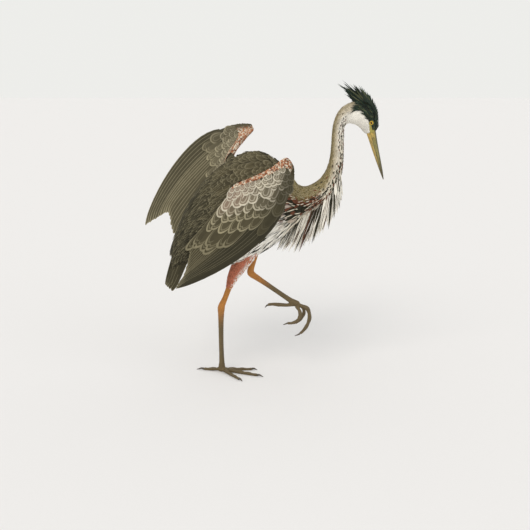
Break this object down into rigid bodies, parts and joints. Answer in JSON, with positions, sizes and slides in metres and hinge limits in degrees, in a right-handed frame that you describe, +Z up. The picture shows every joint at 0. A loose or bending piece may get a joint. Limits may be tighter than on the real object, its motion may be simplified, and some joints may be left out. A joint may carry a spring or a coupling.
{
  "type": "bird figure",
  "caption": "Life-size still model of a great blue heron stepping on one leg, wings half lifted, head bent down; for display.",
  "frame": {"origin": "on the floor, at the centre of the flat under the ball of the standing (right) foot", "axes": "+Z up, the bird faces +X and its left side is +Y"},
  "size_m": [0.6879, 0.3177, 0.832],
  "materials": {
    "plumage_grey": "matte feathers",
    "plumage_pale": "matte feathers",
    "plumage_black": "matte feathers",
    "plumage_rufous": "matte feathers",
    "bill_horn": "satin horn",
    "leg_skin": "satin scaly skin",
    "claw_horn": "satin horn",
    "eye": "glossy"
  },
  "bodies": {
    "root": {"bill_lower": "bill_horn", "bill_upper": "bill_horn", "breast_plumes": "plumage_pale", "claw_hind_left": "claw_horn", "claw_hind_right": "claw_horn", "claw_inner_left": "claw_horn", "claw_inner_right": "claw_horn", "claw_middle_left": "claw_horn", "claw_middle_right": "claw_horn", "claw_outer_left": "claw_horn", "claw_outer_right": "claw_horn", "crest": "plumage_black", "eye_left": "eye", "eye_right": "eye", "head": "plumage_pale", "neck_lower": "plumage_pale", "neck_middle": "plumage_pale", "neck_upper": "plumage_pale", "shank_left": "leg_skin", "shank_right": "leg_skin", "tail": "plumage_grey", "tarsus_left": "leg_skin", "tarsus_right": "leg_skin", "thigh_left": "plumage_rufous", "thigh_right": "plumage_rufous", "toe_hind_left": "leg_skin", "toe_hind_right": "leg_skin", "toe_inner_left": "leg_skin", "toe_inner_right": "leg_skin", "toe_middle_left": "leg_skin", "toe_middle_right": "leg_skin", "toe_outer_left": "leg_skin", "toe_outer_right": "leg_skin", "trunk": "plumage_grey", "wing_left_forearm": "plumage_rufous", "wing_left_hand": "plumage_rufous", "wing_left_primaries": "plumage_grey", "wing_left_scapulars": "plumage_grey", "wing_left_secondaries": "plumage_grey", "wing_right_forearm": "plumage_rufous", "wing_right_hand": "plumage_rufous", "wing_right_primaries": "plumage_grey", "wing_right_scapulars": "plumage_grey", "wing_right_secondaries": "plumage_grey"}
  },
  "joints": []
}
